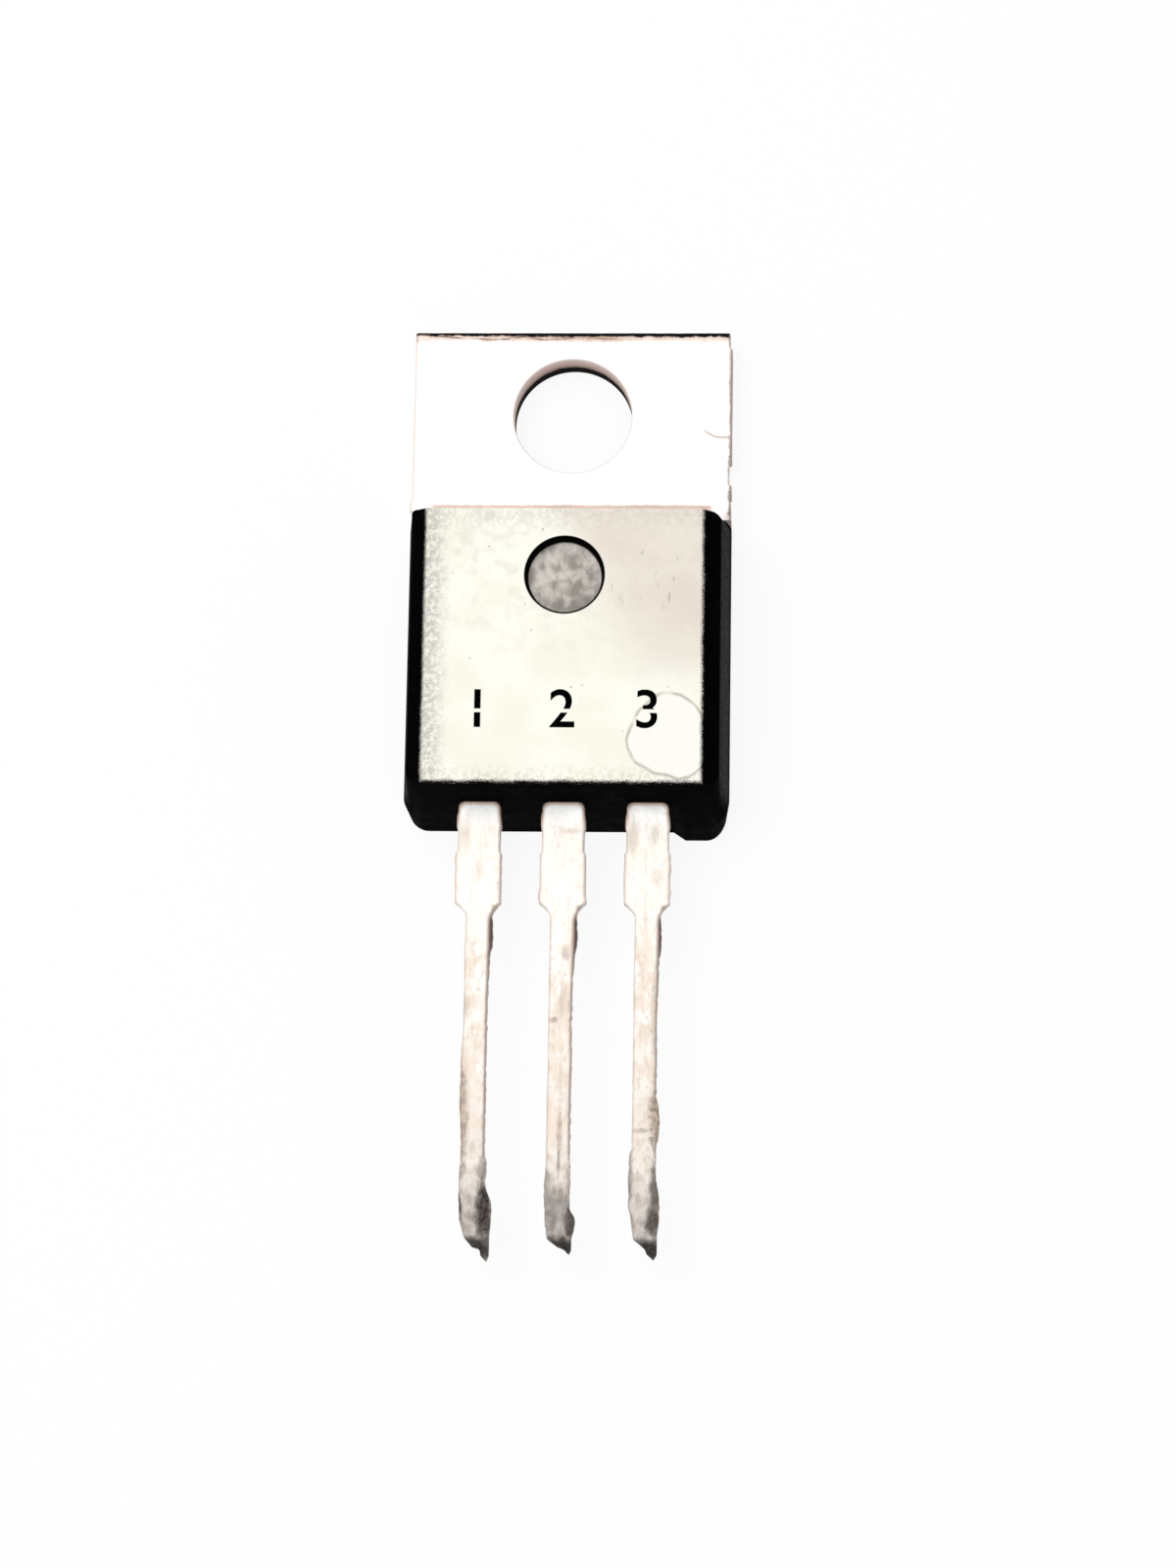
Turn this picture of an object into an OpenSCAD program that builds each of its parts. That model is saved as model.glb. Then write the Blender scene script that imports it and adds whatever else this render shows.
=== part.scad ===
// Plastic-bodied power transistor with a metal tab and three leads, lying on its back.
// Origin: centre of the mounting hole, on the tab's back face.
// +Z points out of the printed face, +Y towards the tab's free edge, the leads run towards -Y.

/* [Metal tab] */
// How far each side of the tab stands in from the body's side at its parting line
tab_inset = 0.02; // [0:0.01:0.15]
// Thickness of the tab and of the header plate that it becomes inside the body
tab_t = 1.27; // [1.1:0.01:1.4]
// Distance from the hole's centre to the tab's free edge
hole_to_edge = 2.72; // [2.4:0.02:3.1]
// Diameter of the mounting hole
hole_d = 3.67; // [3.4:0.01:3.9]
// Distance from the hole's centre to the shoulders where the tab narrows inside the body
hole_to_shoulder = 3.35; // [3.2:0.01:3.4]
// How far each cut tie-bar stub stands out of the tab's side
stub_out = 0.06; // [0.02:0.01:0.12]
// Length of each tie-bar stub along the tab's side
stub_len = 0.38; // [0.2:0.02:0.6]
// Distance from the shoulders up to each tie-bar stub
stub_gap = 0.25; // [0.1:0.01:0.5]

/* [Header plate inside the body] */
// Plastic beside the header plate, on each side at the parting line
side_cover = 0.72; // [0.5:0.02:1.1]
// Plastic between the header plate's end and the body's back edge
end_cover = 1.95; // [1.7:0.05:2.4]
// Width of the step under each long edge that the plastic grips
grip_w = 0.25; // [0.1:0.01:0.4]
// Height of that step above the back face
grip_h = 0.55; // [0.3:0.01:0.8]
// Radius of the round notch in each long edge of the header plate
notch_r = 0.45; // [0.2:0.05:0.6]
// Distance from the shoulders to those notches
notch_y = 1.7; // [1.2:0.1:2.4]

/* [Moulded body] */
// Width of the body at its parting line
body_w = 9.94; // [9.9:0.02:10.4]
// Length of the body's back, from its upper wall to its lower wall
body_l = 9.5; // [9.3:0.05:10]
// Height of the body's printed face above the back face
body_h = 4.49; // [4.3:0.01:4.8]
// Distance from the hole's centre to the body's upper wall, at the tab's surface
hole_to_body = 3.45; // [3.41:0.01:3.6]
// Slope of the upper wall, in degrees from upright
upper_draft = 8; // [2:0.5:12]
// Slope of the lower wall, in degrees from upright
lower_draft = 7; // [2:0.5:10]
// Slope of the side walls above the parting line, in degrees from upright
side_draft = 6; // [2:0.5:8]
// Slope of the side walls below the parting line, in degrees from upright
under_draft = 4; // [1:0.5:6]
// Width of the bevel along each long edge of the face
bevel_w = 0.52; // [0.3:0.02:0.7]
// Depth of that bevel
bevel_h = 0.58; // [0.3:0.02:0.8]
// Radius of the body's upper corners
upper_corner_r = 0.4; // [0.2:0.05:0.7]
// Radius of the body's lower corners
lower_corner_r = 0.62; // [0.3:0.02:0.9]

/* [Round recess in the face] */
// Diameter of the recess at the face
recess_d = 2.4; // [1.8:0.05:2.8]
// Depth of the recess
recess_depth = 0.45; // [0.2:0.05:0.6]
// Slope of the recess wall, in degrees from upright
recess_draft = 6; // [2:1:15]
// Distance from the hole's centre to the recess's centre
hole_to_recess = 5.99; // [5.7:0.05:6.4]

/* [Leads] */
// Spacing of the leads
lead_pitch = 2.54; // [2.4:0.01:2.7]
// Thickness of the leads
lead_t = 0.5; // [0.4:0.01:0.56]
// Height of the leads' upper surface above the back face
lead_top = 2.745; // [2.6:0.01:2.9]
// Width of the slim part of each lead
lead_w = 0.7; // [0.6:0.01:0.9]
// Width of each lead where it leaves the body
root_w = 1.27; // [1.1:0.01:1.35]
// Width of the wide part below the root, with its cut dam-bar stubs
dam_w = 1.38; // [1.36:0.01:1.6]
// Reach of the leads beyond the body's back edge
lead_reach = 12.8; // [9:0.1:14]
// Length of the root outside the body's back edge
root_len = 1.18; // [0.8:0.02:1.6]
// Length of the wide part
dam_len = 1.56; // [1:0.02:2]
// Length of the slope from the wide part to the slim part
slope_len = 0.41; // [0.2:0.01:0.6]
// Size of the clipped corners at each tip
tip_clip = 0.16; // [0.05:0.01:0.25]

/* [Lead ends inside the body] */
// Width of the flat pad on each outer lead, where its wire is bonded
pad_w = 2.3; // [1.9:0.05:2.5]
// Length of that pad
pad_l = 1.5; // [1.2:0.05:1.6]
// Offset of the pad from its lead, away from the middle lead
pad_shift = 0.25; // [0:0.05:0.4]
// Length of the neck between the pad and the body's lower wall
neck_l = 0.75; // [0.6:0.05:0.9]
// Angle at which the middle lead rises from the header plate
rise_angle = 60; // [55:1:68]
// Depth by which the middle lead is rooted in the header plate
rise_root = 0.6; // [0.4:0.05:1]

/* [Chip and wires] */
// Width of the chip
chip_w = 3.3; // [2.6:0.1:3.8]
// Length of the chip
chip_l = 3.1; // [2.6:0.1:3.6]
// Thickness of the chip
chip_t = 0.25; // [0.2:0.01:0.35]
// Distance from the shoulders to the chip's centre
chip_y = 4.15; // [3.8:0.05:4.4]
// Thickness of the solder under the chip
bond_t = 0.05; // [0.03:0.01:0.08]
// Width of the solder that shows round the chip
bond_rim = 0.15; // [0.05:0.01:0.3]
// Diameter of the wire to the base lead
base_wire_d = 0.25; // [0.15:0.01:0.3]
// Diameter of the wire to the emitter lead
emitter_wire_d = 0.38; // [0.3:0.01:0.5]
// Rise of each wire's loop above the straight line between its feet
loop_rise = 1; // [0.8:0.05:1.3]
// Length of each wire's flattened foot
foot_l = 0.7; // [0.5:0.05:0.9]
// Height of each wire's flattened foot
foot_h = 0.16; // [0.1:0.01:0.2]

/* [Solder left on the tips] */
// Length of the old solder on each tip
coat_len = 3.1; // [2:0.1:5]
// Thickness of the old solder
coat_t = 0.045; // [0.03:0.005:0.08]
// Radius of the round lumps in it
lump_r = 0.34; // [0.25:0.01:0.4]
// How far each lump stands out of the lead's side
lump_out = 0.11; // [0.06:0.01:0.16]
// Width of the pointed spur that the solder left below each tip
spur_w = 0.7; // [0.4:0.05:0.75]
// Length of that spur on the base lead; the others follow it
spur_len = 0.69; // [0.3:0.01:1]

/* [Hidden] */
$fn = 64;

// Widths that follow the body's width
tab_w = body_w - 2 * tab_inset;
header_w = body_w - 2 * side_cover;

// Heights above the back face
lead_low = lead_top - lead_t;
chip_low = tab_t + bond_t;
chip_top = chip_low + chip_t;

// Places along Y: the leads run towards -Y
back_end_y = -hole_to_body - body_l;
exit_y = back_end_y + lead_top * tan(lower_draft);
header_end_y = back_end_y + end_cover;
header_len = -hole_to_shoulder - header_end_y;
root_end_y = back_end_y - root_len;
dam_end_y = root_end_y - dam_len;
slope_end_y = dam_end_y - slope_len;
tip_y = back_end_y - lead_reach;
neck_y = exit_y + neck_l;
pad_end_y = neck_y + pad_l;
chip_centre_y = -hole_to_shoulder - chip_y;
coat_start_y = tip_y + coat_len;

// The middle lead rises from the header plate at header_end_y
rise_run = (lead_top - tab_t) / tan(rise_angle);
bend_shift = lead_t * tan(rise_angle / 2);
rise_start_y = header_end_y;
rise_end_y = rise_start_y - rise_run;

// Where each wire leaves the chip and lands on its pad
base_from = [-chip_w * 0.25, chip_centre_y - chip_l * 0.2, chip_top];
emitter_from = [chip_w * 0.22, chip_centre_y - chip_l * 0.18, chip_top];
pad_centre = [lead_pitch + pad_shift, neck_y + pad_l * 0.55, lead_top];

// A spare length by which cutting shapes pass the surfaces that they cut
past = 1;

// Half widths of the body: at its back, at the foot of the bevels and at the face
back_x = body_w / 2 - tab_t * tan(under_draft);
bevel_x = body_w / 2 - (body_h - bevel_h - tab_t) * tan(side_draft);
face_x = bevel_x - bevel_w;

// The body seen along Y: sloping sides that meet at the parting line, and bevelled long edges
module body_front_outline() {
    polygon([
        [-back_x, 0], [back_x, 0],
        [body_w / 2, tab_t], [bevel_x, body_h - bevel_h], [face_x, body_h],
        [-face_x, body_h], [-bevel_x, body_h - bevel_h], [-body_w / 2, tab_t]
    ]);
}

// The body seen along X: it wraps the header from the shoulders down, and its end walls slope
module body_side_outline() {
    polygon([
        [back_end_y, 0], [-hole_to_shoulder, 0],
        [-hole_to_shoulder, tab_t], [-hole_to_body, tab_t],
        [-hole_to_body - (body_h - tab_t) * tan(upper_draft), body_h],
        [back_end_y + body_h * tan(lower_draft), body_h]
    ]);
}

// The body seen along Z, with round corners
module body_plan_outline() {
    low_x = body_w / 2 - lower_corner_r;
    up_x = body_w / 2 - upper_corner_r;
    low_y = back_end_y + lower_corner_r;
    up_y = -hole_to_shoulder - upper_corner_r;
    union() {
        for (side = [-1, 1]) {
            translate([side * low_x, low_y]) circle(lower_corner_r);
            translate([side * up_x, up_y]) circle(upper_corner_r);
        }
        translate([-low_x, back_end_y]) square([2 * low_x, -hole_to_shoulder - back_end_y]);
        translate([-up_x, up_y - past]) square([2 * up_x, upper_corner_r + past]);
        translate([-body_w / 2, low_y]) square([body_w, up_y - low_y]);
    }
}

// Tapered round recess, cut from the face downwards
module recess_cut() {
    wall = tan(recess_draft);
    translate([0, -hole_to_recess, body_h - recess_depth])
        cylinder(h = recess_depth + past, r1 = recess_d / 2 - recess_depth * wall,
                 r2 = recess_d / 2 + past * wall);
}

// The body's outside before the metal pieces are taken out of it
module body_blank() {
    intersection() {
        translate([0, past, 0]) rotate([90, 0, 0])
            linear_extrude(past - back_end_y + past) body_front_outline();
        translate([-body_w, 0, 0]) rotate([90, 0, 90]) linear_extrude(2 * body_w) body_side_outline();
        translate([0, 0, -past]) linear_extrude(body_h + 2 * past) body_plan_outline();
    }
}

// Everything that the plastic was moulded round
module moulded_in() {
    tab_and_middle_lead();
    base_lead();
    emitter_lead();
    chip_solder();
    chip();
    base_wire();
    emitter_wire();
}

module moulded_body() {
    color("#2a2a2a") difference() {
        body_blank();
        recess_cut();
        moulded_in();
    }
}

// Outside stretch of one lead in plan, centred on x = 0, from the given inner end to the tip
module lead_outline(inner_y) {
    polygon([
        [-root_w / 2, inner_y], [root_w / 2, inner_y],
        [root_w / 2, root_end_y], [dam_w / 2, root_end_y - (dam_w - root_w) / 2],
        [dam_w / 2, dam_end_y], [lead_w / 2, slope_end_y],
        [lead_w / 2, tip_y + tip_clip], [lead_w / 2 - tip_clip, tip_y],
        [tip_clip - lead_w / 2, tip_y], [-lead_w / 2, tip_y + tip_clip],
        [-lead_w / 2, slope_end_y], [-dam_w / 2, dam_end_y],
        [-dam_w / 2, root_end_y - (dam_w - root_w) / 2], [-root_w / 2, root_end_y]
    ]);
}

// One outer lead: the outside stretch, a neck through the wall and a bonding pad. side is -1 or 1
module outer_lead(side) {
    translate([side * lead_pitch, 0, lead_low]) union() {
        linear_extrude(lead_t) lead_outline(neck_y + pad_l / 2);
        translate([side * pad_shift - pad_w / 2, neck_y, 0]) cube([pad_w, pad_l, lead_t]);
    }
}

module base_lead() {
    color("#e8e2d8") outer_lead(-1);
}

module emitter_lead() {
    color("#e8e2d8") outer_lead(1);
}

// The tab outside the body, with its mounting hole and tie-bar stubs
module tab_plate() {
    difference() {
        union() {
            translate([-tab_w / 2, -hole_to_shoulder, 0])
                cube([tab_w, hole_to_edge + hole_to_shoulder, tab_t]);
            translate([-tab_w / 2 - stub_out, stub_gap - hole_to_shoulder, 0])
                cube([tab_w + 2 * stub_out, stub_len, tab_t]);
        }
        translate([0, 0, -past]) cylinder(h = tab_t + 2 * past, d = hole_d);
    }
}

// The header plate that the body is moulded on, with a step and a notch in each long edge
module header_plate() {
    difference() {
        translate([-header_w / 2, header_end_y, 0]) cube([header_w, header_len, tab_t]);
        for (side = [-1, 1]) {
            translate([side * header_w / 2, -hole_to_shoulder - notch_y, -past])
                cylinder(h = tab_t + 2 * past, r = notch_r);
            translate([side * (header_w / 2 - grip_w) - (1 - side) / 2 * past, header_end_y - past, -past])
                cube([past, header_len + past, grip_h + past]);
        }
    }
}

// The bend that lifts the middle lead from the header plate to the level of the outer leads
module middle_rise() {
    translate([-root_w / 2, 0, 0]) rotate([90, 0, 90]) linear_extrude(root_w) polygon([
        [rise_start_y + rise_root, tab_t], [rise_start_y + rise_root, tab_t - lead_t],
        [rise_start_y - bend_shift, tab_t - lead_t], [rise_end_y - bend_shift, lead_low],
        [exit_y - past, lead_low], [exit_y - past, lead_top],
        [rise_end_y, lead_top], [rise_start_y, tab_t]
    ]);
}

module tab_and_middle_lead() {
    color("#d9d6d0") union() {
        tab_plate();
        header_plate();
        middle_rise();
        translate([0, 0, lead_low]) linear_extrude(lead_t) lead_outline(exit_y);
    }
}

module chip_solder() {
    color("#8f9092") translate([-chip_w / 2 - bond_rim, chip_centre_y - chip_l / 2 - bond_rim, tab_t])
        cube([chip_w + 2 * bond_rim, chip_l + 2 * bond_rim, bond_t]);
}

module chip() {
    color("#4a5060") translate([-chip_w / 2, chip_centre_y - chip_l / 2, chip_low])
        cube([chip_w, chip_l, chip_t]);
}

// Bonding wire from one point to a higher one: a round loop between two flattened feet.
// The loop runs a little past both points, and is cut off flush with the surfaces there.
module bond_wire(from, to, wire_d) {
    span = norm([to.x - from.x, to.y - from.y]);
    lift = to.z - from.z;
    chord = norm([span, lift]);
    loop_r = (chord * chord / 4 + loop_rise * loop_rise) / (2 * loop_rise);
    drop = loop_r - loop_rise;
    centre_x = span / 2 + drop * lift / chord;
    centre_z = lift / 2 - drop * span / chord;
    start_angle = atan2(lift - centre_z, span - centre_x);
    end_angle = 180 + atan2(centre_z, centre_x);
    spare_angle = 9;
    foot_w = wire_d * 1.4;
    translate(from) rotate([0, 0, atan2(to.y - from.y, to.x - from.x)]) {
        difference() {
            translate([centre_x, 0, centre_z]) rotate([90, 0, 0]) rotate([0, 0, start_angle - spare_angle])
                rotate_extrude(angle = end_angle - start_angle + 2 * spare_angle)
                    translate([loop_r, 0]) circle(d = wire_d);
            translate([-past, -past, -past]) cube([past + span / 2, 2 * past, past]);
            translate([span / 2, -past, lift - past]) cube([span, 2 * past, past]);
        }
        translate([-foot_l / 2, -foot_w / 2, 0]) cube([foot_l, foot_w, foot_h]);
        translate([span - foot_l / 2, -foot_w / 2, lift]) cube([foot_l, foot_w, foot_h]);
    }
}

module base_wire() {
    color("#d0d0d4") bond_wire(base_from, [-pad_centre.x, pad_centre.y, pad_centre.z], base_wire_d);
}

module emitter_wire() {
    color("#d0d0d4") bond_wire(emitter_from, pad_centre, emitter_wire_d);
}

// Pointed spur below one tip, at the right of it. spur is [place of the point across, length].
module tip_spur(at_x, spur) {
    right_x = lead_w / 2 + coat_t;
    translate([at_x, tip_y, lead_low - coat_t]) linear_extrude(lead_t + 2 * coat_t) polygon([
        [right_x - spur_w, coat_t], [right_x - spur_w, 0],
        [spur[0] * lead_w, -spur[1]], [right_x, -spur[1] * 0.5], [right_x, coat_t]
    ]);
}

// Old solder round one tip: a thin coat with round lumps at its sides and a spur below.
// Each lump is [side, share of the coat's length from the tip].
module tip_solder(at_x, lumps, spur) {
    coat_w = lead_w + 2 * coat_t;
    difference() {
        union() {
            translate([at_x - coat_w / 2, tip_y, lead_low - coat_t])
                cube([coat_w, coat_len, lead_t + 2 * coat_t]);
            for (lump = lumps) {
                lump_x = at_x + lump[0] * (lead_w / 2 + lump_out - lump_r);
                translate([lump_x, tip_y + lump[1] * coat_len, lead_low - coat_t])
                    cylinder(h = lead_t + 2 * coat_t, r = lump_r);
            }
            tip_spur(at_x, spur);
        }
        translate([at_x, 0, lead_low]) linear_extrude(lead_t) lead_outline(exit_y);
    }
}

module base_tip_solder() {
    color("#9b948c") tip_solder(-lead_pitch, [[1, 0.66], [1, 0.23], [-1, 0.87]], [0.54, spur_len]);
}

module middle_tip_solder() {
    color("#9b948c") tip_solder(0, [[1, 0.18]], [0.45, spur_len * 0.67]);
}

module emitter_tip_solder() {
    color("#9b948c") tip_solder(lead_pitch, [[1, 0.87], [-1, 0.5], [1, 0.26]], [0.4, spur_len * 0.87]);
}

tab_and_middle_lead();
moulded_body();
base_lead();
emitter_lead();
chip();
chip_solder();
base_wire();
emitter_wire();
base_tip_solder();
middle_tip_solder();
emitter_tip_solder();
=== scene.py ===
import math

import bmesh
import bpy
from mathutils import Matrix, Vector, noise


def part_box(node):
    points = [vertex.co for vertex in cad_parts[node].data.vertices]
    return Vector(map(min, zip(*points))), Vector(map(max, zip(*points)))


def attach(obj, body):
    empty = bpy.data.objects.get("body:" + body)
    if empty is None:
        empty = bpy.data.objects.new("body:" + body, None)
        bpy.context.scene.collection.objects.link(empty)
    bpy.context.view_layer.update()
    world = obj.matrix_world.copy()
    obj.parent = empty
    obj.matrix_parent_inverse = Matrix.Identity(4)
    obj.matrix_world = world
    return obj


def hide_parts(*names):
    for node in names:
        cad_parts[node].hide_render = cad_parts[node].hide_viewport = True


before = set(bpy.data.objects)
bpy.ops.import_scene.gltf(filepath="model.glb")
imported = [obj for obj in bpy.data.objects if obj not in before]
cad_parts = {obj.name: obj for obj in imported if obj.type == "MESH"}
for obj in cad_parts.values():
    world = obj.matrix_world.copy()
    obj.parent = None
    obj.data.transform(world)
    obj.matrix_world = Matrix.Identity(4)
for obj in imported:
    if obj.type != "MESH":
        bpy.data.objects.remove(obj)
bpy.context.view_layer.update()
toMetres = 0.001         # every piece is built in millimetres and ends up in metres
scene = bpy.context.scene
print("frame loaded:", len(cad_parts), "nodes")


# corners of a CAD node in millimetres
def nodeBox(name):
    low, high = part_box(name)
    return low / toMetres, high / toMetres


bodyLow, bodyHigh = nodeBox("moulded_body")
tabLow, tabHigh = nodeBox("tab_and_middle_lead")
leadHigh = nodeBox("emitter_lead")[1]

# sizes that several pieces share, in millimetres
common = {
    "tabThickness": 1.27,
    "shoulderY": bodyHigh.y,      # where the tab narrows inside the body
    "headerWidth": 8.5,
    "headerEndY": -11.0,
    "leadThickness": 0.5,
    "leadPitch": 2.54,
    "exitY": -12.61,              # where the leads leave the body
    "tipY": tabLow.y,
}


# camera, floor and light

camera = {
    "place": (6.811, -40.157, 128.741),
    "pitch": 0.2195,              # turns about X, Y and Z in radians, in that order
    "yaw": 0.0471,
    "roll": 0.0055,
    "lens": 98.45,
}

light = {
    "worldFill": 0.55,
    "keyPlace": (-40, 15, 160),
    "keySize": 110,
    "keyWatts": 0.147,
    "floorGlow": 0.9,             # how much of the floor's white is its own, the rest takes shadow
}


def makeCamera():
    data = bpy.data.cameras.new("photoCamera")
    data.lens = camera["lens"]
    data.sensor_width = 36
    data.clip_start = 0.001
    data.clip_end = 10
    made = bpy.data.objects.new("photoCamera", data)
    turn = (Matrix.Rotation(camera["pitch"], 4, "X") @ Matrix.Rotation(camera["yaw"], 4, "Y")
            @ Matrix.Rotation(camera["roll"], 4, "Z"))
    made.matrix_world = Matrix.Translation(Vector(camera["place"]) * toMetres) @ turn
    scene.collection.objects.link(made)
    scene.camera = made


def makeLight():
    data = bpy.data.lights.new("softKey", "AREA")
    data.shape = "DISK"
    data.size = light["keySize"] * toMetres
    data.energy = light["keyWatts"]
    lamp = bpy.data.objects.new("softKey", data)
    place = Vector(light["keyPlace"]) * toMetres
    target = Vector((0, -0.01, 0))
    lamp.location = place
    lamp.rotation_euler = (target - place).to_track_quat("-Z", "Y").to_euler()
    scene.collection.objects.link(lamp)


# white for the camera, mirrors and glass, softer for everything else
def makeWorld():
    world = bpy.data.worlds.new("paleRoom")
    scene.world = world
    world.use_nodes = True
    nodes, links = world.node_tree.nodes, world.node_tree.links
    background = nodes["Background"]
    background.inputs["Color"].default_value = (1, 1, 1, 1)
    rays = nodes.new("ShaderNodeLightPath")
    seen = nodes.new("ShaderNodeMath")
    seen.operation = "MAXIMUM"
    links.new(rays.outputs["Is Camera Ray"], seen.inputs[0])
    links.new(rays.outputs["Is Glossy Ray"], seen.inputs[1])
    through = nodes.new("ShaderNodeMath")
    through.operation = "MAXIMUM"
    links.new(seen.outputs[0], through.inputs[0])
    links.new(rays.outputs["Is Transmission Ray"], through.inputs[1])
    strength = nodes.new("ShaderNodeMapRange")
    strength.inputs["To Min"].default_value = light["worldFill"]
    strength.inputs["To Max"].default_value = 1.0
    links.new(through.outputs[0], strength.inputs["Value"])
    links.new(strength.outputs["Result"], background.inputs["Strength"])


def makeFloor():
    material = bpy.data.materials.new("paleFloor")
    material.use_nodes = True
    nodes, links = material.node_tree.nodes, material.node_tree.links
    nodes.clear()
    output = nodes.new("ShaderNodeOutputMaterial")
    diffuse = nodes.new("ShaderNodeBsdfDiffuse")
    diffuse.inputs["Color"].default_value = (0.95, 0.95, 0.95, 1)
    glow = nodes.new("ShaderNodeEmission")
    glow.inputs["Color"].default_value = (1, 1, 1, 1)
    rays = nodes.new("ShaderNodeLightPath")
    seen = nodes.new("ShaderNodeMath")
    seen.operation = "MAXIMUM"
    links.new(rays.outputs["Is Camera Ray"], seen.inputs[0])
    links.new(rays.outputs["Is Glossy Ray"], seen.inputs[1])
    share = nodes.new("ShaderNodeMath")
    share.operation = "MULTIPLY"
    share.inputs[1].default_value = light["floorGlow"]
    links.new(seen.outputs[0], share.inputs[0])
    mix = nodes.new("ShaderNodeMixShader")
    links.new(share.outputs[0], mix.inputs["Fac"])
    links.new(diffuse.outputs[0], mix.inputs[1])
    links.new(glow.outputs[0], mix.inputs[2])
    links.new(mix.outputs[0], output.inputs["Surface"])
    bm = bmesh.new()
    bmesh.ops.create_grid(bm, x_segments=1, y_segments=1, size=3)
    mesh = bpy.data.meshes.new("floor")
    bm.to_mesh(mesh)
    bm.free()
    mesh.materials.append(material)
    floor = bpy.data.objects.new("floor", mesh)
    floor.location.z = -0.00001
    scene.collection.objects.link(floor)


makeCamera()
makeLight()
makeWorld()
makeFloor()
scene.view_settings.view_transform = "Standard"
print("camera, light and floor done")


# short ways to build materials

# a colour as read from a picture, 0 to 255, for a shader
def paint(red, green, blue):
    def straight(value):
        value /= 255
        return value / 12.92 if value <= 0.04045 else ((value + 0.055) / 1.055) ** 2.4
    return (straight(red), straight(green), straight(blue), 1)


# a material whose nodes are added by short calls; lengths are in millimetres
class Finish:
    def __init__(self, name):
        self.material = bpy.data.materials.new(name)
        self.material.use_nodes = True
        self.nodes = self.material.node_tree.nodes
        self.links = self.material.node_tree.links
        self.shader = self.nodes["Principled BSDF"]
        coords = self.nodes.new("ShaderNodeTexCoord")
        inMillimetres = self.nodes.new("ShaderNodeMapping")
        inMillimetres.inputs["Scale"].default_value = (1 / toMetres,) * 3
        self.links.new(coords.outputs["Object"], inMillimetres.inputs["Vector"])
        self.place = inMillimetres.outputs["Vector"]
        split = self.nodes.new("ShaderNodeSeparateXYZ")
        self.links.new(self.place, split.inputs[0])
        self.x, self.y, self.z = split.outputs

    def feed(self, socket, value):
        if isinstance(value, bpy.types.NodeSocket):
            self.links.new(value, socket)
        else:
            socket.default_value = value

    def math(self, operation, a, b=0.0, clamp=False):
        node = self.nodes.new("ShaderNodeMath")
        node.operation = operation
        node.use_clamp = clamp
        self.feed(node.inputs[0], a)
        self.feed(node.inputs[1], b)
        return node.outputs[0]

    # 0 below low, 1 above high, smooth between; low may be above high
    def step(self, value, low, high):
        node = self.nodes.new("ShaderNodeMapRange")
        node.interpolation_type = "SMOOTHSTEP"
        self.feed(node.inputs["Value"], value)
        node.inputs["From Min"].default_value = min(low, high)
        node.inputs["From Max"].default_value = max(low, high)
        node.inputs["To Min"].default_value = 0.0 if low < high else 1.0
        node.inputs["To Max"].default_value = 1.0 if low < high else 0.0
        return node.outputs["Result"]

    # cloudy pattern whose patches are about this size, stretched along the axes
    def cloud(self, size, detail=3.0, stretch=(1, 1, 1), shift=0.0, rough=0.5, swirl=0.0):
        turn = self.nodes.new("ShaderNodeMapping")
        turn.inputs["Scale"].default_value = tuple(1 / (size * s) for s in stretch)
        turn.inputs["Location"].default_value = (shift, shift * 0.7, shift * 1.3)
        self.links.new(self.place, turn.inputs["Vector"])
        node = self.nodes.new("ShaderNodeTexNoise")
        node.inputs["Scale"].default_value = 1.0
        node.inputs["Detail"].default_value = detail
        node.inputs["Roughness"].default_value = rough
        node.inputs["Distortion"].default_value = swirl
        self.links.new(turn.outputs["Vector"], node.inputs["Vector"])
        return node.outputs["Fac"]

    # small round spots, 1 at each middle
    def spots(self, size, radius, shift=0.0):
        turn = self.nodes.new("ShaderNodeMapping")
        turn.inputs["Scale"].default_value = (1 / size,) * 3
        turn.inputs["Location"].default_value = (shift,) * 3
        self.links.new(self.place, turn.inputs["Vector"])
        node = self.nodes.new("ShaderNodeTexVoronoi")
        node.inputs["Scale"].default_value = 1.0
        self.links.new(turn.outputs["Vector"], node.inputs["Vector"])
        return self.step(node.outputs["Distance"], radius, radius * 0.4)

    def mix(self, share, under, over):
        node = self.nodes.new("ShaderNodeMix")
        node.data_type = "RGBA"
        self.feed(node.inputs["Factor"], share)
        self.feed(node.inputs[6], under)
        self.feed(node.inputs[7], over)
        return node.outputs[2]

    def blend(self, share, under, over):
        node = self.nodes.new("ShaderNodeMix")
        node.data_type = "FLOAT"
        self.feed(node.inputs["Factor"], share)
        self.feed(node.inputs[2], under)
        self.feed(node.inputs[3], over)
        return node.outputs[0]

    def both(self, *shares):
        result = shares[0]
        for share in shares[1:]:
            result = self.math("MULTIPLY", result, share)
        return result

    # how far a point lies inside a rectangle's edges, seen along Z
    def inside(self, lowX, highX, lowY, highY):
        fromLeft = self.math("SUBTRACT", self.x, lowX)
        fromRight = self.math("SUBTRACT", highX, self.x)
        fromBelow = self.math("SUBTRACT", self.y, lowY)
        fromAbove = self.math("SUBTRACT", highY, self.y)
        return self.math("MINIMUM", self.math("MINIMUM", fromLeft, fromRight),
                         self.math("MINIMUM", fromBelow, fromAbove))

    # distance from a point, seen along Z, with the ellipse's half sizes as 1
    def around(self, atX, atY, halfX, halfY, warp=None):
        across = self.math("DIVIDE", self.math("SUBTRACT", self.x, atX), halfX)
        along = self.math("DIVIDE", self.math("SUBTRACT", self.y, atY), halfY)
        away = self.math("SQRT", self.math("ADD", self.math("MULTIPLY", across, across),
                                           self.math("MULTIPLY", along, along)))
        return self.math("ADD", away, warp) if warp is not None else away

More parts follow.
